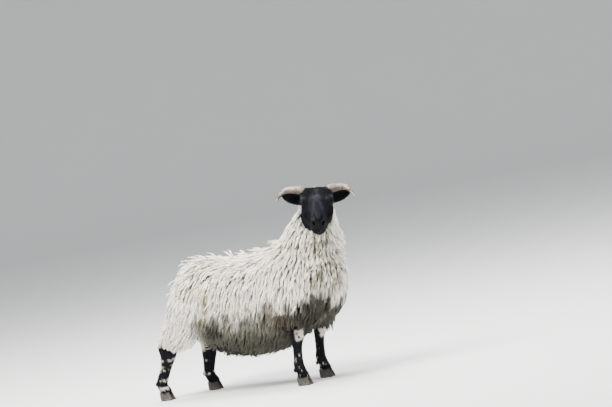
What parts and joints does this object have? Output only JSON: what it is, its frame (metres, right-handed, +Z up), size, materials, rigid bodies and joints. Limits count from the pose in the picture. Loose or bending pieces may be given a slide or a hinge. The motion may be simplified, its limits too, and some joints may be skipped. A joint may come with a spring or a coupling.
{
  "type": "sheep",
  "caption": "Life-size still model of a horned hill ewe in long white fleece with a black face and dark legs, standing with its head turned to its right.",
  "frame": {"origin": "on the floor, under the middle of the bounding box of the whole animal", "axes": "+X the way the body faces, +Y to the animal's left, +Z up"},
  "size_m": [1.1859, 0.4263, 0.9133],
  "materials": {
    "fleece": "long coarse creamy white wool in pointed locks",
    "dark_hair": "short flat black hair, with white patches on the legs",
    "horn": "ridged tan and cream horn, satin",
    "hoof": "dark grey-brown horn, worn",
    "eye": "wet amber-brown eye with a level slot pupil"
  },
  "bodies": {
    "root": {"hoof_fore_right_inner": "hoof", "hoof_fore_right_outer": "hoof", "foreleg_lower_right": "dark_hair", "foreleg_upper_right": "fleece", "hoof_hind_right_inner": "hoof", "hoof_hind_right_outer": "hoof", "hindleg_lower_right": "dark_hair", "hindleg_upper_right": "fleece", "hoof_fore_left_inner": "hoof", "hoof_fore_left_outer": "hoof", "foreleg_lower_left": "dark_hair", "foreleg_upper_left": "fleece", "hoof_hind_left_inner": "hoof", "hoof_hind_left_outer": "hoof", "hindleg_lower_left": "dark_hair", "hindleg_upper_left": "fleece", "trunk": "fleece", "tail": "fleece", "neck": "fleece", "head": "dark_hair", "eye_right": "eye", "horn_right": "horn", "ear_right": "dark_hair", "eye_left": "eye", "horn_left": "horn", "ear_left": "dark_hair"}
  },
  "joints": []
}
